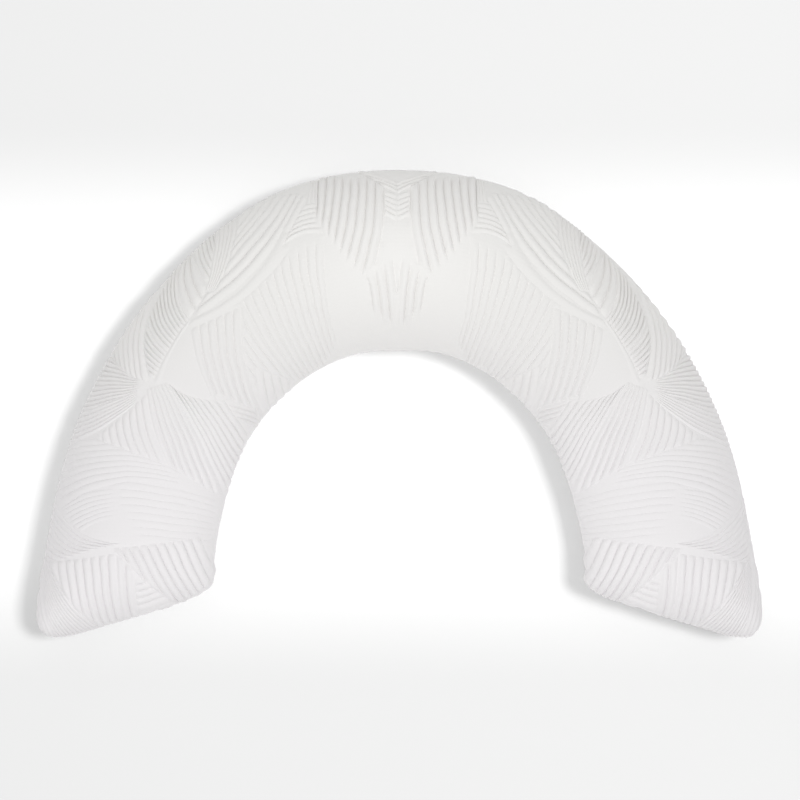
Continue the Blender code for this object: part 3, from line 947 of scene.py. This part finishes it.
def jacquard_knit(cover):
    """Polyester and cotton jacquard knit, quilted over a thin wadding.

    A matt off-white with a faint bloom. Close to, rows of stitches and loose fibres break it up.
    """
    material = bpy.data.materials.new("jacquard_knit")
    tree = emptied_tree(material)
    out = add_node(tree, "ShaderNodeOutputMaterial")
    cloth = add_node(tree, "ShaderNodeUVMap", {"uv_map": "cloth"})
    # Half a band is about 1 / 6.28 of a metre long at scale 1, and draws one row of stitches.
    row_scale = 1.0 / cover.knit_gauge / 6.28
    rows, courses = (
        add_node(tree, "ShaderNodeTexWave",
                 {"wave_type": "BANDS", "bands_direction": direction, "Scale": row_scale,
                  "Distortion": 1.2, "Detail": 1.0, "Detail Scale": 2.0},
                 {"Vector": cloth.outputs["UV"]})
        for direction in ("X", "Y"))
    loops = add_node(tree, "ShaderNodeMath", {"operation": "MULTIPLY"},
                     {0: rows.outputs["Fac"], 1: courses.outputs["Fac"]})
    # Spun yarn: fibres about 0.8 mm apart, drawn 1.5 mm apart so that they show.
    yarn = add_node(tree, "ShaderNodeTexNoise",
                    {"Scale": 650.0, "Detail": 2.0, "Roughness": 0.6},
                    {"Vector": cloth.outputs["UV"]})
    weave = add_node(tree, "ShaderNodeMath", {"operation": "MULTIPLY_ADD", 1: 0.6},
                     {0: yarn.outputs["Fac"], 2: loops.outputs[0]})
    bump = add_node(tree, "ShaderNodeBump", {"Strength": 0.35, "Distance": 0.0004},
                    {"Height": weave.outputs[0]})
    # Painted shade: faintly cooler and darker at the legs, which get less light than the crown.
    place = add_node(tree, "ShaderNodeTexCoord")
    split = add_node(tree, "ShaderNodeSeparateXYZ", {}, {"Vector": place.outputs["Object"]})
    height = add_node(tree, "ShaderNodeMapRange",
                      {"interpolation_type": "SMOOTHSTEP", "From Min": -0.15, "From Max": 0.2},
                      {"Value": split.outputs["Y"]})
    base = add_node(tree, "ShaderNodeMix",
                    {"data_type": "RGBA", "A": linear("#e9e7e8"), "B": linear("#ebeae8")},
                    {"Factor": height.outputs["Result"]})
    knit = add_node(tree, "ShaderNodeBsdfPrincipled",
                    {"Roughness": 0.85, "Specular IOR Level": 0.25,
                     "Sheen Weight": 0.1, "Sheen Roughness": 0.5},
                    {"Base Color": base.outputs["Result"], "Normal": bump.outputs["Normal"]})
    tree.links.new(knit.outputs["BSDF"], out.inputs["Surface"])
    return material


def paper_sweep():
    """Matt white backdrop paper, greyer front and back: painted shade for the light's fall-off."""
    material = bpy.data.materials.new("paper_sweep")
    tree = emptied_tree(material)
    out = add_node(tree, "ShaderNodeOutputMaterial")
    place = add_node(tree, "ShaderNodeTexCoord")
    split = add_node(tree, "ShaderNodeSeparateXYZ", {}, {"Vector": place.outputs["Object"]})
    far = add_node(tree, "ShaderNodeMath", {"operation": "ABSOLUTE"}, {0: split.outputs["Y"]})
    # Painted shade: the paper turns greyer past the lit middle band, front and back.
    painted_shade = add_node(tree, "ShaderNodeMapRange",
                    {"interpolation_type": "SMOOTHSTEP", "From Min": 0.20, "From Max": 0.42},
                    {"Value": far.outputs[0]})
    tone = add_node(tree, "ShaderNodeMix",
                    {"data_type": "RGBA", "A": linear("#aaaaaa"), "B": linear("#9a9a9a")},
                    {"Factor": painted_shade.outputs["Result"]})
    paper = add_node(tree, "ShaderNodeBsdfPrincipled",
                     {"Roughness": 0.9, "Specular IOR Level": 0.1},
                     {"Base Color": tone.outputs["Result"]})
    tree.links.new(paper.outputs["BSDF"], out.inputs["Surface"])
    return material


# ---- pieces ----

class BODYPILLOW_OT_cover(bpy.types.Operator):
    """Makes the filled pillow with its ribbed cover"""

    bl_idname = "bodypillow.cover"
    bl_label = "Pillow"

    def execute(self, context):
        cover = context.scene.body_pillow_cover
        push = press_out(cover)
        pillow = bpy.data.objects.new("pillow_cover", cover_mesh(cover, push=push))
        context.collection.objects.link(pillow)
        close_up(pillow)
        bpy.ops.object.shade_smooth()
        pillow.data.materials.append(jacquard_knit(cover))
        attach(pillow, "root")
        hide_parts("pillow")
        return {"FINISHED"}


# ---- the studio ----

def hang(kind, name, place, target, power, lit, blocker=None):
    """Hangs a lamp that lights one object alone, and that only a blocker shades if given."""
    bpy.ops.object.light_add(type=kind, location=place)
    lamp = bpy.context.object
    lamp.name = name
    lamp.data.energy = power
    lamp.rotation_euler = (Vector(target) - lamp.location).to_track_quat("-Z", "Y").to_euler()
    for part, item in (("receiver", lit), ("blocker", blocker)):
        if item:
            linked = bpy.data.collections.new(name + "_" + part + "s")
            linked.objects.link(item)
            setattr(lamp.light_linking, part + "_collection", linked)
    return lamp.data


def softbox(name, place, target, width, power, lit, blocker=None):
    """A square softbox."""
    lamp = hang("AREA", name, place, target, power, lit, blocker)
    lamp.shape = "RECTANGLE"
    lamp.size = lamp.size_y = width


def rake(name, place, target, cone, power, lit):
    """A small lamp that rakes the ribs from one side, in a cone of so many degrees."""
    lamp = hang("SPOT", name, place, target, power, lit)
    lamp.spot_size = math.radians(cone)
    lamp.spot_blend = 1.0
    lamp.shadow_soft_size = 0.06


def hang_lamps(stage, floor, pillow):
    """Hangs the softboxes and the raking lamps.

    Only the floor shades the fill, so the pillow's shadow comes from the floor's softbox alone.
    """
    middle = (0, 0, 0)
    softbox("floor_softbox", (2.75, 0.4, 7.8), middle, 1.5, stage.floor_power, floor)
    softbox("floor_fill", (0, 0, 7.8), middle, 3.0, stage.floor_fill, floor, floor)
    softbox("front_softbox", (0, -1.3, 1.0), (0, 0.05, 0.1), 0.4, stage.front_power, pillow)
    for side, hand in ((1, "right"), (-1, "left")):
        rake("crown_lamp_" + hand, (side * 0.62, 0.10, 0.62), (side * -0.15, 0.25, 0.12), 22,
             stage.crown_power, pillow)
        rake("leg_lamp_" + hand, (side * -0.15, -0.30, 0.55), (side * 0.45, -0.14, 0.09), 42,
             stage.leg_power, pillow)


def studio_room(stage):
    """A white room, brightest straight overhead where its diffuser hangs."""
    world = bpy.data.worlds.new("studio")
    tree = emptied_tree(world)
    out = add_node(tree, "ShaderNodeOutputWorld")
    way = add_node(tree, "ShaderNodeTexCoord")
    split = add_node(tree, "ShaderNodeSeparateXYZ", {}, {"Vector": way.outputs["Generated"]})
    upward = add_node(tree, "ShaderNodeMath", {"operation": "MAXIMUM", 1: 0.0},
                      {0: split.outputs["Z"]})
    diffuser = add_node(tree, "ShaderNodeMath", {"operation": "POWER", 1: 2.0},
                        {0: upward.outputs[0]})
    base = add_node(tree, "ShaderNodeMath",
                    {"operation": "MULTIPLY_ADD", 1: stage.room_top, 2: stage.room_low},
                    {0: diffuser.outputs[0]})
    room = add_node(tree, "ShaderNodeBackground", {"Color": (1, 1, 1, 1)},
                    {"Strength": base.outputs[0]})
    tree.links.new(room.outputs["Background"], out.inputs["Surface"])
    return world


class BODYPILLOW_OT_stage(bpy.types.Operator):
    """Lays the pale sweep, hangs the lamps and sets the camera overhead"""

    bl_idname = "bodypillow.stage"
    bl_label = "Stage"

    def execute(self, context):
        stage = context.scene.body_pillow_stage
        clear_selection()
        bpy.ops.mesh.primitive_plane_add(size=12.0, location=(0, 0, 0))
        floor = context.object
        floor.name = "floor"
        floor.data.materials.append(paper_sweep())
        hang_lamps(stage, floor, bpy.data.objects["pillow_cover"])
        context.scene.world = studio_room(stage)
        seam_height = context.scene.body_pillow_cover.seam_height
        distance = stage.view_width * stage.lens / SENSOR_WIDTH
        bpy.ops.object.camera_add(location=(*CAMERA_PLACE, seam_height + distance),
                                  rotation=(0, 0, 0))
        camera = context.object
        camera.name = "overhead_camera"
        camera.data.lens = stage.lens
        camera.data.sensor_width = SENSOR_WIDTH
        camera.data.clip_end = 50.0
        context.scene.camera = camera
        context.scene.view_settings.view_transform = "Standard"
        context.scene.view_settings.look = "None"
        return {"FINISHED"}


class BODYPILLOW_PT_panel(bpy.types.Panel):
    """Sizes of the pillow and its studio"""

    bl_label = "Body Pillow"
    bl_idname = "BODYPILLOW_PT_panel"
    bl_space_type = "VIEW_3D"
    bl_region_type = "UI"
    bl_category = "Body Pillow"

    def draw(self, context):
        for settings, operator in ((context.scene.body_pillow_cover, "bodypillow.cover"),
                                   (context.scene.body_pillow_stage, "bodypillow.stage")):
            box = self.layout.box()
            for name in settings.__annotations__:
                box.prop(settings, name)
            box.operator(operator)


CLASSES = (
    BodyPillowCover,
    BodyPillowStage,
    BODYPILLOW_OT_cover,
    BODYPILLOW_OT_stage,
    BODYPILLOW_PT_panel,
)


def register():
    for item in CLASSES:
        bpy.utils.register_class(item)
    bpy.types.Scene.body_pillow_cover = PointerProperty(type=BodyPillowCover)
    bpy.types.Scene.body_pillow_stage = PointerProperty(type=BodyPillowStage)


def unregister():
    del bpy.types.Scene.body_pillow_stage
    del bpy.types.Scene.body_pillow_cover
    for item in reversed(CLASSES):
        bpy.utils.unregister_class(item)


def main():
    register()
    bpy.ops.bodypillow.cover()
    bpy.ops.bodypillow.stage()


if __name__ == "__main__":
    main()
